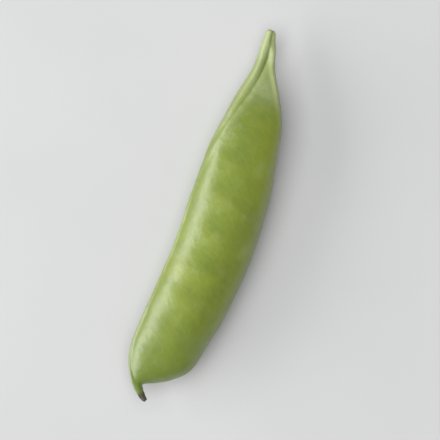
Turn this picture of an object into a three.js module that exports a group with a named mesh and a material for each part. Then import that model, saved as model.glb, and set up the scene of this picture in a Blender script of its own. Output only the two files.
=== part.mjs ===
// Sugar snap pea: one whole pod as picked, lying on its broad side.
//
// A pod is a single carpel folded over the peas. Its fold is the abaxial suture, the convex edge,
// and its closed lips are the adaxial suture, the straighter edge. The solid is built between
// those two lines: every cross-section spans from one to the other.
//
// Millimetres. X runs from the stem scar to the beak, Y from the adaxial suture to the abaxial
// one, and Z is up. The origin is on the resting surface, under the middle of the bounding box.

import * as THREE from "three";

const { smoothstep } = THREE.MathUtils;

// Cross-sections from the scar to the tip. Each has its two ends on the suture lines, as distance
// from the scar and offset from the straight line between scar and tip, and half its thickness.
const sections = [
  { adaxial: [0, -0.9], abaxial: [0, 0.85], halfThickness: 0.8 },
  { adaxial: [1.9, -0.95], abaxial: [1.7, 1.25], halfThickness: 0.85 },
  { adaxial: [4.1, -0.95], abaxial: [3.9, 2.1], halfThickness: 1.15 },
  { adaxial: [7.8, -1], abaxial: [7.2, 3.3], halfThickness: 1.8 },
  { adaxial: [12.2, -2], abaxial: [11.2, 5.55], halfThickness: 2.7 },
  { adaxial: [17.2, -3], abaxial: [16, 7.8], halfThickness: 3.75 },
  { adaxial: [22.5, -3.85], abaxial: [21.8, 9.2], halfThickness: 4.55 },
  { adaxial: [29.5, -4.05], abaxial: [29, 10.2], halfThickness: 5.05 },
  { adaxial: [37, -4.05], abaxial: [37, 10.8], halfThickness: 5.2 },
  { adaxial: [45, -4], abaxial: [45.5, 10.7], halfThickness: 5.15 },
  { adaxial: [52.5, -4.55], abaxial: [53.5, 9.8], halfThickness: 4.95 },
  { adaxial: [58.5, -5.05], abaxial: [60.3, 8.45], halfThickness: 4.5 },
  { adaxial: [63.5, -5.4], abaxial: [65.6, 7], halfThickness: 3.8 },
  { adaxial: [66.9, -5.05], abaxial: [68.4, 4.3], halfThickness: 2.85 },
  { adaxial: [69.2, -4.15], abaxial: [70, 1.6], halfThickness: 1.85 },
  { adaxial: [70.9, -3.15], abaxial: [71, -0.5], halfThickness: 1.15 },
  { adaxial: [72.4, -1.9], abaxial: [71.8, -0.25], halfThickness: 0.75 },
  { adaxial: [73.5, -0.55], abaxial: [72.6, 0.3], halfThickness: 0.52 },
  { adaxial: [74.1, 0.8], abaxial: [73.5, 1.05], halfThickness: 0.3 },
];

// The peas press the walls out into a row of low swellings, and the outer peas are the smallest.
const peaCount = 7;
const firstPeaAt = 21.5;
const peaPitch = 6.6;
const peaRadiusAlong = 2.6;
const peaHeight = 0.5;
const outerPeaShare = 0.6;

// Over the first peas the flanks are fuller than an ellipse by this share. It comes in over the
// first stretch and goes over the second.
const flankFullness = 0.3;
const fullnessComes = [8, 18];
const fullnessGoes = [24, 40];

// The adaxial suture is a pair of lips with a groove between, and the abaxial one a single cord.
const lipHeight = 0.3;
const lipWidth = 0.5;
const neckLipGap = 1.8;
const bodyLipGap = 2;
const lipGapGrowsTo = 12;
const cordHeight = 0.22;
const cordWidth = 0.5;
const cordOnEdgeFrom = 6;
const cordOnEdgeTo = 30;
const fullReliefWidth = 1.6;

// Towards the neck the pod twists, slowly at first and then faster, so that its lips come up onto
// the broad side.
const longTwist = THREE.MathUtils.degToRad(54);
const longTwistFrom = 10;
const longTwistTo = 33;
const shortTwist = THREE.MathUtils.degToRad(60);
const shortTwistReach = 9;

// There the empty wall sinks a little between the lips and a shoulder just inside the edge.
const sunkAt = 10.5;
const sunkReach = 6.5;
const sunkDepth = 0.32;
const shoulderFromEdge = 0.95;
const shoulderHeight = 0.42;
const shoulderWidth = 0.55;
const shoulderGoes = [8, 22];

// The neck droops a little and the beak lifts, out of the plane of the pod.
const neckDroop = 0.9;
const beakLift = 0.8;
const straightFrom = 22;
const straightTo = 50;

// Where it lies the belly is pressed flat to this depth.
const restDepth = 0.4;

// Mesh fineness. Both are drawn together where the detail is: at the two ends and at the sutures.
const ringCount = 66;
const sideCount = 44;
const endDensity = 0.5;
const sutureDensity = 0.55;

// The scar's flat face, as a share of the neck there, and its rounded rim, as a share of the length.
const scarFace = 0.8;
const scarRim = 0.002;

const podSkin = new THREE.MeshStandardMaterial({ color: 0x7d9239, roughness: 0.45, metalness: 0 });

function lineThrough(pointOf) {
  return new THREE.SplineCurve(sections.map((section) => new THREE.Vector2(...pointOf(section))));
}

function middleOf(section) {
  const [fromX, fromY] = section.adaxial;
  const [toX, toY] = section.abaxial;
  return [(fromX + toX) / 2, (fromY + toY) / 2];
}

const adaxialLine = lineThrough((section) => section.adaxial);
const abaxialLine = lineThrough((section) => section.abaxial);
const middleLine = lineThrough(middleOf);
const thicknessLine = lineThrough((section) => [middleOf(section)[0], section.halfThickness]);

function bell(distance, width) {
  return Math.exp(-((distance / width) ** 2));
}

// How far the wall stands out over the peas, at a distance from the scar.
function peaSwelling(x) {
  let height = 0;
  for (let pea = 0; pea < peaCount; pea += 1) {
    const fromMiddle = Math.abs((2 * pea) / (peaCount - 1) - 1);
    const size = 1 - (1 - outerPeaShare) * fromMiddle ** 2;
    height += peaHeight * size * bell(x - firstPeaAt - pea * peaPitch, peaRadiusAlong);
  }
  return height;
}

// How much fuller than an ellipse the flanks are, at a distance from the scar.
function flankFullnessAt(x) {
  return flankFullness * smoothstep(x, ...fullnessComes) * (1 - smoothstep(x, ...fullnessGoes));
}

// Height of the pod's middle line above its own plane.
function outOfPlane(x) {
  const beforeStraight = Math.max(0, straightFrom - x) / straightFrom;
  const pastStraight = Math.max(0, x - straightTo) / (sections.at(-1).adaxial[0] - straightTo);
  return beakLift * pastStraight ** 2 - neckDroop * beforeStraight ** 2;
}

// How far the lips have come up onto the broad side, at a distance from the scar.
function twistAt(x) {
  const untwisted = smoothstep(x, longTwistFrom, longTwistTo);
  return longTwist * (1 - untwisted) + shortTwist * bell(x, shortTwistReach);
}

// Relief of the sutures at an angle round the section, with the abaxial suture at 0 and the
// adaxial one at half a turn. perRadian is the distance over the skin for one radian there. The
// sections reach to the top of the cord, so the rest lies lower where the cord is on the edge.
function sutureRelief(x, growthAngle, perRadian, halfWidth) {
  const slenderness = Math.min(1, halfWidth / fullReliefWidth);
  const widening = smoothstep(x, 0, lipGapGrowsTo);
  const gap = slenderness * THREE.MathUtils.lerp(neckLipGap, bodyLipGap, widening);
  const fromPair = (Math.abs(growthAngle) - Math.PI) * perRadian;
  const lips = bell(Math.abs(fromPair) - gap / 2, lipWidth);
  const cord = bell(growthAngle * perRadian, cordWidth);
  const cordOnEdge = smoothstep(x, cordOnEdgeFrom, cordOnEdgeTo);
  return slenderness * (lipHeight * lips + cordHeight * (cord - cordOnEdge));
}

// Relief of the shoulder at an angle round the section, measured from the abaxial side.
function shoulderRelief(x, angle, perRadian, halfWidth) {
  const slenderness = Math.min(1, halfWidth / fullReliefWidth);
  const shoulderAngle = Math.acos(Math.max(0, 1 - shoulderFromEdge / halfWidth));
  const turned = THREE.MathUtils.euclideanModulo(angle - shoulderAngle + Math.PI, 2 * Math.PI);
  const shoulder = bell((turned - Math.PI) * perRadian, shoulderWidth);
  return slenderness * shoulderHeight * shoulder * (1 - smoothstep(x, ...shoulderGoes));
}

// A point of the pod's skin. along is 0 at the scar and 1 at the tip, and share is 1 on the skin
// and less on the small end faces. growthAngle runs from one adaxial lip over the abaxial suture
// to the other lip, so lines of equal growthAngle follow the sutures as they twist.
function skinPoint(along, share, growthAngle) {
  const t = middleLine.getUtoTmapping(along);
  const adaxial = adaxialLine.getPoint(t);
  const abaxial = abaxialLine.getPoint(t);
  const middle = middleLine.getPoint(t);
  const halfThickness = thicknessLine.getPoint(t).y;
  const halfWidth = adaxial.distanceTo(abaxial) / 2;
  const outwards = abaxial.clone().sub(adaxial).normalize();
  const angle = growthAngle - twistAt(middle.x);
  const perRadian = Math.hypot(halfWidth * Math.sin(angle), halfThickness * Math.cos(angle));
  const sutures = sutureRelief(middle.x, growthAngle, perRadian, halfWidth);
  const relief = sutures + shoulderRelief(middle.x, angle, perRadian, halfWidth);
  const across = share * (halfWidth + relief) * Math.cos(angle);
  const swelling = peaSwelling(middle.x) * Math.sin(angle) ** 2;
  const sunk = sunkDepth * bell(middle.x - sunkAt, sunkReach) * Math.max(0, Math.sin(angle)) ** 3;
  const fullness = 1 + flankFullnessAt(middle.x) * Math.cos(angle) ** 2;
  const up = share * (halfThickness + relief + swelling - sunk) * Math.sin(angle) * fullness;
  return new THREE.Vector3(
    middle.x + outwards.x * across,
    middle.y + outwards.y * across,
    outOfPlane(middle.x) + up,
  );
}

// The blank is a closed drum of unit radius and unit height around Y. Its ends become the scar
// and the tip.
function blankDrum() {
  const profile = [new THREE.Vector2(0, 0), new THREE.Vector2(scarFace, 0)];
  for (let ring = 0; ring <= ringCount; ring += 1) {
    const even = ring / ringCount;
    const along = even - (endDensity * Math.sin(2 * Math.PI * even)) / (2 * Math.PI);
    profile.push(new THREE.Vector2(1, THREE.MathUtils.lerp(scarRim, 1 - scarRim, along)));
  }
  profile.push(new THREE.Vector2(0, 1));
  return new THREE.LatheGeometry(profile, sideCount);
}

function makePod() {
  const geometry = blankDrum();
  const position = geometry.attributes.position;
  const points = [];
  for (let index = 0; index < position.count; index += 1) {
    const x = position.getX(index);
    const z = position.getZ(index);
    const even = Math.atan2(x, z);
    const growthAngle = even - (sutureDensity * Math.sin(2 * even)) / 2;
    points.push(skinPoint(position.getY(index), Math.hypot(x, z), growthAngle));
  }
  const floor = Math.min(...points.map((point) => point.z)) + restDepth;
  points.forEach((point, index) => {
    position.setXYZ(index, point.x, point.y, Math.max(point.z, floor) - floor);
  });
  geometry.computeVertexNormals();
  geometry.computeBoundingBox();
  const mesh = new THREE.Mesh(geometry, podSkin);
  const centre = geometry.boundingBox.getCenter(new THREE.Vector3());
  mesh.position.set(-centre.x, -centre.y, 0);
  mesh.name = "pod";
  return mesh;
}

const sugarSnapPea = new THREE.Group();
sugarSnapPea.add(makePod());

export default sugarSnapPea;
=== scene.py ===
import math

import bmesh
import bpy
import numpy as np
from mathutils import Matrix, Vector, noise


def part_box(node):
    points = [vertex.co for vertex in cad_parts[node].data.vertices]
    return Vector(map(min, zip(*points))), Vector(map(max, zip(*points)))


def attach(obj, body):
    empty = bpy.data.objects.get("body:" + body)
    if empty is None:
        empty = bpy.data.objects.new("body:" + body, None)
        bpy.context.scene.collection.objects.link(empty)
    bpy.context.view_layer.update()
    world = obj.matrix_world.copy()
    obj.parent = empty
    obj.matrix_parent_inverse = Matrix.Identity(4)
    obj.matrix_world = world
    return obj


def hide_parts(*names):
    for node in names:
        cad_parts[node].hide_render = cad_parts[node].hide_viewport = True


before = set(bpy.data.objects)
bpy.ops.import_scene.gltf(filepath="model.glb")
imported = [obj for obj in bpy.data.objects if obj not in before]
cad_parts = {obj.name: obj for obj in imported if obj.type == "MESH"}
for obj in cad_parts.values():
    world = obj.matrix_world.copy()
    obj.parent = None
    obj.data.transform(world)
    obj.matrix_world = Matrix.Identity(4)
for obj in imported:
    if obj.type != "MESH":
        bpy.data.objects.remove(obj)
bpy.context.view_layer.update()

# ---------------------------------------------------------------------------------------------
# The pod.
# A sugar snap pea is one fleshy carpel folded along its abaxial suture, the convex edge, and
# closed along its adaxial suture, the straighter edge with two lips side by side. It grew as
# one piece, from the scar where it was picked to the beak with its dried style.
# ---------------------------------------------------------------------------------------------

MM = 0.001

# Everything below is in millimetres until the mesh is made. x is the distance from the scar.
# Each cross-section has its adaxial end, its abaxial end and half its thickness.
sections = [
    ((0.0, -0.9), (0.0, 0.85), 0.8),
    ((1.9, -0.95), (1.7, 1.25), 0.85),
    ((4.1, -0.95), (3.9, 2.1), 1.15),
    ((7.8, -1.0), (7.2, 3.3), 1.8),
    ((12.2, -2.0), (11.2, 5.55), 2.7),
    ((17.2, -3.0), (16.0, 7.8), 3.75),
    ((22.5, -3.85), (21.8, 9.2), 4.55),
    ((29.5, -4.05), (29.0, 10.2), 5.05),
    ((37.0, -4.05), (37.0, 10.8), 5.2),
    ((45.0, -4.0), (45.5, 10.7), 5.15),
    ((52.5, -4.55), (53.5, 9.8), 4.95),
    ((58.5, -5.05), (60.3, 8.45), 4.5),
    ((63.5, -5.4), (65.6, 7.0), 3.8),
    ((66.9, -5.05), (68.4, 4.3), 2.85),
    ((69.2, -4.15), (70.0, 1.6), 1.85),
    ((70.9, -3.15), (71.0, -0.5), 1.15),
    ((72.4, -1.9), (71.8, -0.25), 0.75),
    ((73.5, -0.55), (72.6, 0.3), 0.52),
    ((74.1, 0.8), (73.5, 1.05), 0.3),
]
tip_x = sections[-1][0][0]

# Seven peas press the walls out, none quite in line or quite alike. Each has its distance from
# the scar, its offset from the middle and the height of its swelling. The skin over a pea of
# full height is the yellowest.
peas = [
    (21.6, -0.4, 0.3),
    (28.0, 0.2, 0.46),
    (34.9, -0.3, 0.48),
    (41.1, 0.1, 0.54),
    (48.0, -0.5, 0.5),
    (54.3, 0.3, 0.52),
    (61.0, 0.0, 0.4),
]
pea_length, pea_width, full_pea = 2.6, 6.5, 0.5

# The adaxial suture is a pair of lips with a groove between, and the abaxial one a single cord.
# On the turned neck the lip that faces up is softer than the one on the edge, and both sink
# back into the wall where they turn over onto the margin. All of it fades where the pod is
# slender.
lip_height, lip_width = 0.3, 0.5
neck_gap, body_gap, gap_grows = 1.8, 2.0, (2.0, 12.0)
lip_softens, lip_hardens = (7.0, 13.0), (26.0, 36.0)
soft_wider, soft_lower, edge_lower = 0.5, 0.45, 0.2
dip_at, dip_reach, dip = 8.5, 3.5, 0.75
turn_at, turn_reach, turn_lower = 19.5, 4.5, 0.55
groove_depth, groove_width, soft_groove = 0.22, 0.28, 0.7
cord_height, cord_width, cord_on_edge = 0.22, 0.36, (6.0, 30.0)
slender_width = (0.3, 1.6)

# Towards the neck the pod twists, so that its lips come up onto the broad side. There the empty
# wall sinks a little between the lips and a shoulder just inside the edge.
long_twist, long_twist_goes = math.radians(54), (10.0, 33.0)
short_twist, short_twist_reach = math.radians(60), 9.0
sunk_at, sunk_reach, sunk_depth, sunk_comes = 10.5, 6.5, 0.32, (1.5, 6.0)
shoulder_in, shoulder_height, shoulder_width = 0.7, 0.48, 0.55
shoulder_comes, shoulder_goes = (1.0, 4.0), (8.0, 22.0)

# Over the first peas the flanks are fuller than an ellipse.
flank_fullness, fullness_comes, fullness_goes = 0.3, (8.0, 18.0), (24.0, 40.0)

# The neck droops and the beak lifts a little, out of the plane of the pod.
neck_droop, straight_from = 0.9, 22.0
beak_lift, straight_to = 0.8, 50.0

# The belly is pressed flat where it rests. The scar is dished, the dried style ends in a pit,
# and both have a rounded rim.
rest_depth, rest_edge = 0.4, 0.12
scar_dish, scar_rounding, scar_taper = 0.18, 0.22, 0.3
style_pit, style_rounding, style_taper = 0.12, 0.12, 0.18
style_dries = (72.3, 73.1)

# The grown wall is never quite even. Each kind of unevenness has the size of its lumps, their
# height and a seed. The ripples run across the pod, and the dried style is wrinkled lengthwise.
broad_lumps, small_lumps, fine_lumps = (9.0, 0.14, 3), (3.2, 0.05, 11), (0.9, 0.012, 5)
lip_lumps, ripples, wrinkles = (2.4, 0.1, 17), (1.4, 0.05, 23), (0.3, 0.16, 7)
ripple_stretch, wrinkle_stretch = (1.0, 0.35, 0.35), (0.25, 1.0, 1.0)
lumps_come = (0.8, 4.0)

# Rings along the pod and points round each, closer together at the ends and at the sutures.
ring_count, side_count = 440, 200
end_density, suture_density = 0.55, 0.45
scar_rings, tip_rings = 10, 8
middle_count = 4001
same_point, no_length = 0.0001, 1e-9


def through(points, t):
    """Points of a Catmull-Rom curve through these points, for t from 0 to 1."""
    points = np.asarray(points, float)
    last = len(points) - 1
    place = np.clip(t, 0, 1) * last
    index = np.minimum(place.astype(int), last - 1)
    share = (place - index)[:, None]
    before, after = points[np.maximum(index - 1, 0)], points[np.minimum(index + 2, last)]
    start, end = points[index], points[index + 1]
    leaving, arriving = (end - before) / 2, (after - start) / 2
    return (
        (2 * start - 2 * end + leaving + arriving) * share**3
        + (3 * end - 3 * start - 2 * leaving - arriving) * share**2
        + leaving * share
        + start
    )


def bell(distance, width):
    """1 at no distance, about a third at this width, and soon nothing."""
    return np.exp(-((distance / width) ** 2))


def comes(value, ends):
    """0 before the first end, 1 after the second, and smooth between."""
    share = np.clip((value - ends[0]) / (ends[1] - ends[0]), 0, 1)
    return share * share * (3 - 2 * share)


def goes(value, ends):
    """1 before the first end, 0 after the second, and smooth between."""
    return 1 - comes(value, ends)


def lumps(places, kind, stretch=(1.0, 1.0, 1.0)):
    """Smooth unevenness of one kind at these places."""
    size, height, seed = kind
    rows = (places.reshape(-1, 3) * stretch / size + seed).tolist()
    return height * np.array([noise.noise(row) for row in rows]).reshape(places.shape[:-1])


adaxial_ends = [section[0] for section in sections]
abaxial_ends = [section[1] for section in sections]
thicknesses = [(section[2],) for section in sections]

# Distance along the middle line, measured in many short steps.
middle_t = np.linspace(0, 1, middle_count)
middle_line = (through(adaxial_ends, middle_t) + through(abaxial_ends, middle_t)) / 2
middle_steps = np.linalg.norm(np.diff(middle_line, axis=0), axis=1)
middle_reach = np.concatenate([[0], np.cumsum(middle_steps)])

# Rings from the scar to the tip. The first ones close the scar and the last ones the broken
# end of the style.
even = np.linspace(0, 1, ring_count + 1)
reach = (even - end_density * np.sin(2 * np.pi * even) / (2 * np.pi)) * middle_reach[-1]
rim_share = 1 - scar_taper * bell(reach, scar_rounding)
rim_share = rim_share - style_taper * bell(reach[-1] - reach, style_rounding)
scar_share = rim_share[0] * np.sin(np.linspace(0, np.pi / 2, scar_rings + 1)[:-1])
tip_share = rim_share[-1] * np.cos(np.linspace(0, np.pi / 2, tip_rings + 1)[1:])
share = np.concatenate([scar_share, rim_share, tip_share])[:, None]
reach = np.concatenate([np.zeros(scar_rings), reach, np.full(tip_rings, reach[-1])])
t = np.interp(reach, middle_reach, middle_t)
reach = reach[:, None]
last_rim = scar_rings + ring_count
on_scar, on_break = reach == 0, reach == reach[-1]
scar_radius, break_radius = share / rim_share[0], share / rim_share[-1]

# Points round each ring follow the sutures as they twist: the abaxial suture is at 0 and the
# adaxial one at half a turn.
side_even = np.linspace(-np.pi, np.pi, side_count, endpoint=False)
growth = (side_even - suture_density * np.sin(2 * side_even) / 2)[None, :]

adaxial = through(adaxial_ends, t)
abaxial = through(abaxial_ends, t)
half_thickness = through(thicknesses, t)
half_width = np.linalg.norm(abaxial - adaxial, axis=1, keepdims=True) / 2
out_x, out_y = np.hsplit((abaxial - adaxial) / (2 * half_width), 2)
x, y = np.hsplit((adaxial + abaxial) / 2, 2)

twist = long_twist * goes(x, long_twist_goes) + short_twist * bell(x, short_twist_reach)
angle = growth - twist
across_share, up_share = np.cos(angle), np.sin(angle)
per_radian = np.hypot(half_width * up_share, half_thickness * across_share)
slender = comes(half_width, slender_width)

from_pair = (np.abs(growth) - np.pi) * per_radian
gap = (neck_gap + (body_gap - neck_gap) * comes(x, gap_grows)) * slender
from_lip = np.abs(from_pair) - gap / 2
soft = comes(x, lip_softens) * goes(x, lip_hardens)
turned = 1 - turn_lower * bell(x - turn_at, turn_reach)
edge_lip = bell(from_lip, lip_width) * (1 - edge_lower * soft)
upper_lip = bell(from_lip, lip_width * (1 + soft_wider * soft))
upper_lip = upper_lip * (1 - soft_lower * soft - dip * bell(x - dip_at, dip_reach))
lips = np.where(growth > 0, upper_lip, edge_lip)
groove = turned * bell(from_pair, groove_width)
cord = bell(growth * per_radian, cord_width)

shoulder_angle = np.arccos(np.maximum(0, 1 - shoulder_in / half_width))
from_shoulder = ((angle - shoulder_angle + np.pi) % (2 * np.pi) - np.pi) * per_radian
shoulder = bell(from_shoulder, shoulder_width)
shoulder = shoulder * comes(x, shoulder_comes) * goes(x, shoulder_goes)

relief = slender * (
    lip_height * lips * turned
    - groove_depth * groove * (1 - soft_groove * soft)
    + cord_height * (cord - comes(x, cord_on_edge))
    + shoulder_height * shoulder
)
swelling = sum(
    height * bell(x - place, pea_length) * bell(half_width * across_share - offset, pea_width)
    for place, offset, height in peas
)
sunk = sunk_depth * bell(x - sunk_at, sunk_reach) * comes(x, sunk_comes)
sunk = sunk * np.maximum(0, up_share) ** 3
fullness = flank_fullness * comes(x, fullness_comes) * goes(x, fullness_goes)

across = share * (half_width + relief) * across_share
up = share * (half_thickness + relief + swelling * up_share**2 - sunk) * up_share
up = up * (1 + fullness * across_share**2)
drooped = -neck_droop * (np.maximum(0, straight_from - x) / straight_from) ** 2
lifted = beak_lift * (np.maximum(0, x - straight_to) / (tip_x - straight_to)) ** 2
dished = scar_dish * np.where(on_scar, 1 - scar_radius**2, 0)
dished = dished - style_pit * np.where(on_break, 1 - break_radius**2, 0)
skin_x = x + dished * out_y + across * out_x
skin_y = y - dished * out_x + across * out_y
skin = np.stack([skin_x, skin_y, drooped + lifted + up], axis=-1)

round_way = np.roll(skin, -1, axis=1) - np.roll(skin, 1, axis=1)
long_way = np.gradient(skin, axis=0)
normal = np.cross(long_way, round_way)
normal /= np.maximum(np.linalg.norm(normal, axis=-1, keepdims=True), no_length)
dry = comes(x + 0 * growth, style_dries)
near_lips = (1 - np.cos(growth)) / 2
uneven = (
    lumps(skin, broad_lumps)
    + lumps(skin, small_lumps)
    + lumps(skin, lip_lumps) * lips
    + lumps(skin, ripples, ripple_stretch) * near_lips
)
uneven = uneven * comes(half_thickness, lumps_come) + lumps(skin, fine_lumps)
along_style = np.stack([reach + 0 * across, across, up], axis=-1)
uneven = uneven + lumps(along_style, wrinkles, wrinkle_stretch) * dry
# The broken end keeps the wrinkled outline of the rim round it, and the scar is even inside.
normal[last_rim:] = normal[last_rim - 1]
uneven[last_rim:] = uneven[last_rim] * break_radius[last_rim:]
uneven[:last_rim] = uneven[:last_rim] * np.minimum(1, share[:last_rim] * 2)
skin = skin + normal * uneven[..., None]

# The belly is pressed flat where it lies, with a soft edge.
above = skin[..., 2] - (skin[..., 2].min() + rest_depth)
skin[..., 2] = (above + np.sqrt(above**2 + rest_edge**2)) / 2

# Distance round each ring from the abaxial suture, for the veins.
steps = np.linalg.norm(np.roll(skin, -1, axis=1) - skin, axis=-1)
over_skin = np.concatenate([np.zeros((len(steps), 1)), np.cumsum(steps, axis=1)], axis=1)
over_skin = over_skin - over_skin[:, side_count // 2, None]

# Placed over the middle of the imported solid, in metres.
low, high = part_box("pod")
middle = (skin.min(axis=(0, 1)) + skin.max(axis=(0, 1))) / 2
middle[2] = 0
box_middle = np.array((low + high) / 2)
box_middle[2] = low.z
points = (skin - middle).reshape(-1, 3) * MM + box_middle

# Four-sided faces between neighbouring rings. Every corner keeps its place along and round.
ring, side = np.indices((len(reach) - 1, side_count))
corners = [(ring, side), (ring, side + 1), (ring + 1, side + 1), (ring + 1, side)]
faces = [at_ring * side_count + at_side % side_count for at_ring, at_side in corners]
faces = np.stack(faces, axis=-1).reshape(-1, 4)
places = [
    np.stack([reach[at_ring, 0], over_skin[at_ring, at_side]], axis=-1)
    for at_ring, at_side in corners
]
mesh = bpy.data.meshes.new("pod_skin")
mesh.from_pydata(points.tolist(), [], faces.tolist())
skin_place = mesh.uv_layers.new(name="skin_place")
skin_place.data.foreach_set("uv", np.stack(places, axis=-2).ravel())


def paint(name, values):
    """Keeps one number for each point of the skin, for its finish."""
    layer = mesh.attributes.new(name, "FLOAT", "POINT")
    layer.data.foreach_set("value", np.broadcast_to(values, skin.shape[:2]).ravel())


# Where each colour lies. The neck, the lips and the cord are pale, and the shoulder carries a
# painted highlight. Wax lies thickest round the neck, and a painted highlight lies along the
# adaxial margin. The upper wall is greener near the neck, and the flank yellower. The groove
# holds painted shade, and so does the lower end before the beak's own darker green.
neck_end_pales, neck_paleness, neck_pales = (1.0, 10.5), 0.4, (9.0, 17.0)
lips_green, lips_turn_green, shoulder_highlight = 0.7, (10.0, 26.0), 0.9
green_at, green_reach, off_flank, off_margin = 27.0, 10.0, (-0.1, 0.7), (-0.95, -0.5)
yellow_at, yellow_reach, on_flank = 22.0, 11.0, (0.25, 0.9)
margin_highlight_at, margin_highlight_reach, by_margin = 17.5, 5.5, (-0.75, -0.2)
neck_wax, neck_wax_at, neck_wax_reach = 0.9, 12.0, 3.0
end_shade_comes, end_shade_depth, beak_deepens = (53.0, 61.0), 0.45, (61.0, 71.5)
scar_edge_at, scar_edge_width, rim_reach, scar_face = 0.9, 0.14, 0.12, (0.75, 0.95)

neck_long = neck_paleness * goes(x, neck_pales)
paint("neck", np.maximum(goes(x, neck_end_pales), neck_long))
pale_lips = lips * (1 - lips_green * comes(x, lips_turn_green))
# The pale lips, and a painted highlight on the shoulder just inside the abaxial edge.
paint("ridge_and_highlight", np.minimum(1, pale_lips + shoulder_highlight * shoulder))
# Painted shade in the groove between the lips.
paint("groove", groove)
paint("cord", cord)
paint("round", np.abs(growth))
upper_wall = goes(across_share, off_flank) * comes(across_share, off_margin)
paint("upper", bell(x - green_at, green_reach) * upper_wall)
paint("flank", bell(x - yellow_at, yellow_reach) * comes(across_share, on_flank))
# A painted highlight along the adaxial margin, beside the wax round the neck.
margin_highlight = bell(x - margin_highlight_at, margin_highlight_reach) * goes(across_share, by_margin)
paint("wax_and_highlight", np.maximum(margin_highlight, neck_wax * bell(x - neck_wax_at, neck_wax_reach)))
paint("pea", np.minimum(1, swelling / full_pea))
# Painted shade over the lower end, then the beak's own darker green.
deep_beak = (1 - end_shade_depth) * comes(x, beak_deepens) ** 2
paint("beak", end_shade_depth * comes(x, end_shade_comes) + deep_beak)
paint("dry", dry)
paint("scar", np.where(on_scar, goes(scar_radius, scar_face), 0))
face_edge = bell(scar_radius - scar_edge_at, scar_edge_width)
paint("scar_edge", np.where(on_scar, face_edge, bell(reach, rim_reach)))

# The middle of each end is one point.
shaped = bmesh.new()
shaped.from_mesh(mesh)
bmesh.ops.remove_doubles(shaped, verts=shaped.verts, dist=same_point * MM)
shaped.to_mesh(mesh)
shaped.free()
pod = bpy.data.objects.new("pod_skin", mesh)
bpy.context.scene.collection.objects.link(pod)


class Sock:
    """A socket of a finish. Arithmetic on it adds Math nodes."""

    def __init__(self, tree, out=None):
        self.tree = tree
        self.out = out

    def node(self, kind, settings=(), inputs=(), out=0):
        """Adds a node of this kind, and gives back one of its outputs."""
        made = self.tree.nodes.new(kind)
        for name, value in dict(settings).items():
            setattr(made, name, value)
        for name, value in dict(inputs).items():
            if isinstance(value, Sock):
                self.tree.links.new(value.out, made.inputs[name])
            else:
                made.inputs[name].default_value = value
        return Sock(self.tree, made.outputs[out] if made.outputs else None)

    def maths(self, operation, first, second=0.0):
        """Adds a Math node."""
        return self.node("ShaderNodeMath", {"operation": operation}, {0: first, 1: second})

    def __add__(self, other):
        return self.maths("ADD", self, other)

    def __rsub__(self, other):
        return self.maths("SUBTRACT", other, self)

    def __mul__(self, other):
        return self.maths("MULTIPLY", self, other)

    def __abs__(self):
        return self.maths("ABSOLUTE", self)

    __radd__ = __add__
    __rmul__ = __mul__


def new_finish(name):
    """An empty material, and a wrapper to add its nodes with."""
    finish = bpy.data.materials.new(name)
    finish.use_nodes = True
    finish.node_tree.nodes.clear()
    return finish, Sock(finish.node_tree)


def mixed(share, first, second):
    """The second colour laid over the first by this share. Inputs 6 and 7 are the colours."""
    settings = {"data_type": "RGBA", "clamp_factor": True}
    return share.node("ShaderNodeMix", settings, {0: share, 6: first, 7: second}, out=2)


def between(value, ends):
    """0 below the first end, 1 above the second, and smooth between."""
    settings = {"interpolation_type": "SMOOTHSTEP"}
    return value.node("ShaderNodeMapRange", settings, {0: value, 1: ends[0], 2: ends[1]})


def joined(along, round_skin):
    """A place on the skin from its distance along and its distance round."""
    return along.node("ShaderNodeCombineXYZ", inputs={0: along, 1: round_skin})


def cloud(where, size, detail=2.0):
    """Noise around 0.5 with lumps of this size in millimetres."""
    inputs = {"Vector": where, "Scale": 1 / (size * MM), "Detail": detail}
    return where.node("ShaderNodeTexNoise", inputs=inputs)


def net(along, round_skin, line, randomness):
    """1 on the lines of a net whose meshes are one unit across."""
    settings = {"feature": "DISTANCE_TO_EDGE", "voronoi_dimensions": "2D"}
    inputs = {"Vector": joined(along, round_skin), "Scale": 1.0, "Randomness": randomness}
    return 1 - between(along.node("ShaderNodeTexVoronoi", settings, inputs), (0.0, line))


flesh = (0.172, 0.226, 0.017, 1)
flesh_yellow = (0.24, 0.292, 0.021, 1)
flesh_deep_and_shade = (0.126, 0.185, 0.014, 1)
flesh_pale_and_highlight = (0.36, 0.42, 0.19, 1)
flesh_beak = (0.11, 0.165, 0.02, 1)
bloom_grey_and_highlight = (0.3, 0.36, 0.17, 1)
dried = (0.055, 0.047, 0.033, 1)
dried_pale = (0.13, 0.1, 0.06, 1)
scar_tan = (0.36, 0.34, 0.17, 1)
scar_brown = (0.2, 0.15, 0.06, 1)
scuff_tan = (0.26, 0.25, 0.1, 1)

# Sizes and lengths are in millimetres, and a vein line's or a pore's width is a share of the
# spacing. A pattern shows from the first number of its pair and is full at the second.
waver_size, patch_size, fine_size, grain_size = 3.8, 2.4, 0.9, 0.28
vein_slant, vein_waver = 0.55, 2.4
vein_length, vein_round, vein_bend, vein_line = 1.6, 5.0, 0.5, 0.16
veinlet_length, veinlet_round, veinlet_bend, veinlet_line = 0.65, 1.25, 0.9, 0.14
strand_length, strands_per_radian = 2.9, 11.0
strand_shows, dried_strand_shows = (0.5, 0.75), (0.45, 0.7)
yellow_size, yellow_shows = 6.5, (0.42, 0.72)
deep_size, deep_shows = 4.2, (0.46, 0.66)
bloom_size, bloom_shows = 5.0, (0.5, 0.64)
pore_spacing, pore_fades = 0.85, (0.08, 0.2)
scuff_size, scuff_shows = 0.7, (0.68, 0.72)
scuffed_size, scuffed_shows = 9.0, (0.56, 0.62)
speck_size, speck_shows, pith_size = 0.16, (0.55, 0.7), 0.12
rim_patch_size, rim_patch_shows = 0.5, (0.3, 0.6)
bump_strength, bump_height = 0.45, 0.06
clean_roughness, clean_coat = 0.36, 0.25

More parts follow.
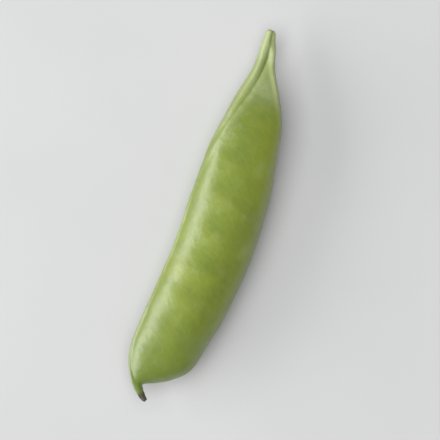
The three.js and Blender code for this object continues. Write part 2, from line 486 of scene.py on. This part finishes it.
skin_finish, new = new_finish("pod_skin")
here = new.node("ShaderNodeTexCoord", out="Object")
place = new.node("ShaderNodeUVMap", {"uv_map": "skin_place"})
lengthwise = new.node("ShaderNodeSeparateXYZ", inputs={0: place}, out="X")
roundwise = new.node("ShaderNodeSeparateXYZ", inputs={0: place}, out="Y")
painted = {
    layer.name: new.node("ShaderNodeAttribute", {"attribute_name": layer.name}, out="Fac")
    for layer in mesh.attributes
    if layer.data_type == "FLOAT"
}
neck, ridge_and_highlight, cord_line = painted["neck"], painted["ridge_and_highlight"], painted["cord"]
style, scar = painted["dry"], painted["scar"]

# Veins leave the adaxial suture slantwise towards the beak and join in a loose net, with a
# finer net between them. Fine strands run along the sutures, the neck and the style.
waver = cloud(here, waver_size)
slant = lengthwise + abs(roundwise) * vein_slant + waver * vein_waver
vein_across = roundwise * (1 / vein_round) + waver * vein_bend
vein = net(slant * (1 / vein_length), vein_across, vein_line, randomness=0.85)
veinlet_across = roundwise * (1 / veinlet_round) + waver * veinlet_bend
veinlet = net(slant * (1 / veinlet_length), veinlet_across, veinlet_line, randomness=1.0)
veins = (vein * 0.7 + veinlet * 0.3) * (1 - neck * 0.8)
strand_place = joined(lengthwise * (1 / strand_length), painted["round"] * strands_per_radian)
strand_inputs = {"Vector": strand_place, "Scale": 1.0, "Detail": 2.0}
strands = new.node("ShaderNodeTexNoise", inputs=strand_inputs)
stranded = ridge_and_highlight + cord_line * 0.8 + neck * 0.6 + style

# The flesh is mottled, paler where wax lies on it, with a painted highlight along the adaxial
# margin, and dotted with pores and a few scuffs.
patch, fine = cloud(here, patch_size), cloud(here, fine_size)
yellow = cloud(here, yellow_size, detail=3.0) * 0.5 + patch * 0.3 + painted["pea"] * 0.25
yellowing = between(yellow, yellow_shows)
deepening = between(cloud(here, deep_size) * 0.7 + fine * 0.3, deep_shows)
bloom = cloud(here, bloom_size, detail=4.0) * 0.75 + fine * 0.25 + neck * 0.1
bloom = between(bloom, bloom_shows)
pore_inputs = {"Vector": here, "Scale": 1 / (pore_spacing * MM)}
pores = 1 - between(new.node("ShaderNodeTexVoronoi", inputs=pore_inputs), pore_fades)
scuffs = between(cloud(here, scuff_size, detail=4.0), scuff_shows)
scuffs = scuffs * between(cloud(here, scuffed_size), scuffed_shows)
scar_specks = scar * between(cloud(here, speck_size, detail=3.0), speck_shows)
scar_rim = painted["scar_edge"] * between(cloud(here, rim_patch_size), rim_patch_shows)
dried_strands = style * between(strands, dried_strand_shows)

# Each colour is laid over the ones before it, by a share that varies over the skin.
colour = flesh
for share_of_layer, layer in [
    (deepening * 0.65, flesh_deep_and_shade),
    (painted["upper"] * 0.5, flesh_deep_and_shade),
    (yellowing * 0.55, flesh_yellow),
    (painted["flank"] * 0.7, flesh_yellow),
    # Wax bloom, and a painted highlight along the adaxial margin.
    (bloom * 0.2 + painted["wax_and_highlight"] * (0.25 + bloom * 0.3), bloom_grey_and_highlight),
    (veins * 0.22, flesh_yellow),
    (pores * 0.12, flesh_pale_and_highlight),
    # Painted shade over the lower end, and the beak's own darker green.
    (painted["beak"] * 0.8, flesh_beak),
    # Pale neck, lips and cord, and a painted highlight on the shoulder.
    (neck * 0.75 + ridge_and_highlight * 0.5 + cord_line * 0.3, flesh_pale_and_highlight),
    (between(strands, strand_shows) * stranded * 0.3, flesh),
    # Painted shade: the groove is darkened where shade falls in it.
    (painted["groove"] * 0.5, flesh_deep_and_shade),
    (scuffs * 0.5, scuff_tan),
    (scar * (0.55 + fine * 0.5), scar_tan),
    (scar_rim * 0.8 + scar_specks * 0.7, scar_brown),
    (style, dried),
    (dried_strands * 0.6, dried_pale),
]:
    colour = mixed(share_of_layer, colour, layer)

# Wax, scuffs, the dried style and the scar are less glossy than clean skin. The finest relief
# is the grain of the skin, its veins and strands, and the pith in the scar.
marks = bloom * 0.06 + scuffs * 0.2 + style * 0.35 + scar * 0.3
roughness = clean_roughness + fine * 0.1 + marks
height = (
    cloud(here, grain_size, detail=1.0) * 0.45
    + fine * 0.35
    + vein * 0.35
    + veinlet * 0.15
    + strands * stranded * 0.55
    + scar * cloud(here, pith_size, detail=3.0) * 1.2
)
bump_inputs = {"Strength": bump_strength, "Distance": bump_height * MM, "Height": height}
shader = new.node(
    "ShaderNodeBsdfPrincipled",
    inputs={
        "Base Color": colour,
        "Roughness": roughness,
        "Normal": new.node("ShaderNodeBump", inputs=bump_inputs),
        "Subsurface Weight": 0.12,
        "Subsurface Scale": 1.5 * MM,
        "Subsurface Radius": (0.5, 0.9, 0.15),
        "Specular IOR Level": 1.0,
        "Coat Weight": clean_coat * (1 - style) * (1 - scar),
        "Coat Roughness": 0.35,
    },
)
new.node("ShaderNodeOutputMaterial", inputs={"Surface": shader})
mesh.materials.append(skin_finish)
mesh.shade_smooth()
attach(pod, "root")
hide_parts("pod")

# ---------------------------------------------------------------------------------------------
# The table.
# The pod lies on a plain pale sheet of matt board, which is not part of it.
# ---------------------------------------------------------------------------------------------
table_size = 3.0
board = (0.555, 0.555, 0.555, 1)
board_grey = (0.54, 0.54, 0.543, 1)
stain_size, stain_shows, tooth_size = 40.0, (0.35, 0.65), 0.6

bpy.ops.mesh.primitive_plane_add(size=table_size)
table = bpy.context.object
table.name = "table"
board_finish, new = new_finish("table")
on_board = new.node("ShaderNodeTexCoord", out="Object")
stain = between(cloud(on_board, stain_size, detail=3.0), stain_shows)
shader = new.node(
    "ShaderNodeBsdfPrincipled",
    inputs={
        "Base Color": mixed(stain, board, board_grey),
        "Roughness": 0.8 + cloud(on_board, tooth_size, detail=3.0) * 0.1,
        "Specular IOR Level": 0.2,
    },
)
new.node("ShaderNodeOutputMaterial", inputs={"Surface": shader})
table.data.materials.append(board_finish)

# ---------------------------------------------------------------------------------------------
# The camera.
# It looks straight down from half an arm's length, and the stem end is up and to the right.
# ---------------------------------------------------------------------------------------------
lean = math.radians(19.5)
camera_height = 0.42

camera_data = bpy.data.cameras.new("camera")
camera_data.lens = 180
camera_data.sensor_width = 36
camera = bpy.data.objects.new("camera", camera_data)
bpy.context.scene.collection.objects.link(camera)
right = Vector((-math.sin(lean), math.cos(lean), 0))
top = Vector((-math.cos(lean), -math.sin(lean), 0))
turned_camera = Matrix((right, top, (0, 0, 1))).transposed().to_4x4()
camera.matrix_world = Matrix.Translation((0, 0, camera_height)) @ turned_camera
bpy.context.scene.camera = camera

# ---------------------------------------------------------------------------------------------
# The lights.
# A long softbox stands low on the left, a wide one hangs above, and the room is pale.
# ---------------------------------------------------------------------------------------------
room_colour = (0.95, 0.97, 1, 1)
room_strength = 0.22


def softbox(name, elevation, distance, size, radiance):
    """A soft light on the left, raised by this angle and aimed at the pod."""
    aim = -right * math.cos(elevation) + Vector((0, 0, math.sin(elevation)))
    data = bpy.data.lights.new(name, "AREA")
    data.shape = "RECTANGLE"
    data.size, data.size_y = size
    data.energy = radiance * math.pi * size[0] * size[1]
    light = bpy.data.objects.new(name, data)
    light.location = aim * distance
    light.rotation_euler = aim.to_track_quat("Z", "Y").to_euler()
    light.visible_camera = False
    bpy.context.scene.collection.objects.link(light)
    return light


softbox("key", elevation=math.radians(20), distance=1.1, size=(1.4, 0.52), radiance=5.5)
fill = softbox("fill", elevation=math.radians(78), distance=0.9, size=(1.0, 1.0), radiance=3.0)
fill.visible_glossy = False
room = bpy.data.worlds.new("room")
bpy.context.scene.world = room
room.use_nodes = True
room_light = room.node_tree.nodes["Background"]
room_light.inputs["Color"].default_value = room_colour
room_light.inputs["Strength"].default_value = room_strength
bpy.context.scene.view_settings.view_transform = "Standard"
bpy.context.scene.cycles.use_denoising = True
